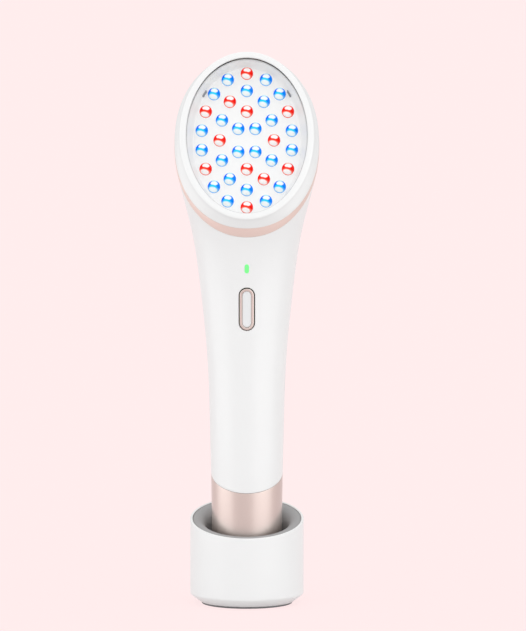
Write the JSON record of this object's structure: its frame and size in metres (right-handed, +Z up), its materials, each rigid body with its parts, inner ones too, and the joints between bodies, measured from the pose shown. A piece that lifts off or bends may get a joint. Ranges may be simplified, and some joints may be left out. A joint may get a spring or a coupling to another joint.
{
  "type": "acne light therapy device",
  "caption": "Hand-held light head with blue and red lamps behind an oval window on a round handle, standing in its slanted charging base.",
  "frame": {"origin": "middle of the rubber foot's underside, under the handle's axis", "axes": "+Z up along the handle, -Y out of the button and the light window, +X to the right seen from the front"},
  "size_m": [0.0594, 0.0506, 0.2269],
  "materials": {
    "white_shell": "satin, moulded ABS",
    "white_tray": "white reflector plastic",
    "grey_liner": "fine matt",
    "rose_gold": "satin rose gold, anodised",
    "foot_rubber": "matt",
    "cover_plastic": "matt",
    "steel": "plain",
    "board_green": "circuit board",
    "gold_contact": "gold plated",
    "lamp_blue": "clear lens, lit blue",
    "lamp_red": "clear lens, lit red",
    "lamp_green": "frosted light pipe, lit green",
    "button_grey": "matt",
    "battery_wrap": "shrink film",
    "frame_plastic": "matt",
    "cable_black": "insulation",
    "clip_grey": "matt"
  },
  "bodies": {
    "base": {"base_shell": "white_shell", "base_liner": "grey_liner", "base_plate": "cover_plastic", "base_foot": "foot_rubber", "base_screw_1": "steel", "base_screw_2": "steel", "base_screw_3": "steel", "ballast_weight": "steel", "charge_board": "board_green", "usb_socket": "steel", "contact_spring_left": "steel", "contact_spring_right": "steel"},
    "pin_left": {"contact_pin_left": "gold_contact"},
    "pin_right": {"contact_pin_right": "gold_contact"},
    "device": {"front_shell": "white_shell", "rear_shell": "white_shell", "head_bezel": "white_shell", "trim_ring": "rose_gold", "reflector_tray": "white_tray", "tray_clip_left": "clip_grey", "tray_clip_right": "clip_grey", "led_board": "board_green", "outer_blue_lamps": "lamp_blue", "outer_red_lamps": "lamp_red", "middle_blue_lamps": "lamp_blue", "middle_red_lamps": "lamp_red", "inner_blue_lamps": "lamp_blue", "inner_red_lamps": "lamp_red", "head_screw_1": "steel", "head_screw_2": "steel", "head_screw_3": "steel", "head_screw_4": "steel", "button_ring": "rose_gold", "tact_switch": "cable_black", "indicator_window": "lamp_green", "indicator_lamp": "lamp_green", "control_board": "board_green", "chassis": "frame_plastic", "board_screw_1": "steel", "board_screw_2": "steel", "battery": "battery_wrap", "metal_band": "rose_gold", "end_cap": "cover_plastic", "end_seal": "foot_rubber", "contact_pad_left": "gold_contact", "contact_pad_right": "gold_contact", "charge_wire_left": "cable_black", "charge_wire_right": "cable_black", "led_cable": "cable_black"},
    "button": {"button_pad": "button_grey", "switch_plunger": "cable_black"}
  },
  "joints": [
    {"name": "device_lift", "type": "slide", "parent": "base", "child": "device", "axis": [0, 0, 1], "range_m": [0, 0.05]},
    {"name": "button_press", "type": "slide", "parent": "device", "child": "button", "axis": [0, 0.9967, 0.0815], "range_m": [0, 0.0005], "stiffness_N_per_m": 1500},
    {"name": "pin_left_press", "type": "slide", "parent": "base", "child": "pin_left", "axis": [0, 0, 1], "range_m": [-0.001, 0], "stiffness_N_per_m": 500, "deforming": ["contact_spring_left"]},
    {"name": "pin_right_press", "type": "slide", "parent": "base", "child": "pin_right", "axis": [0, 0, 1], "range_m": [-0.001, 0], "stiffness_N_per_m": 500, "deforming": ["contact_spring_right"]}
  ]
}
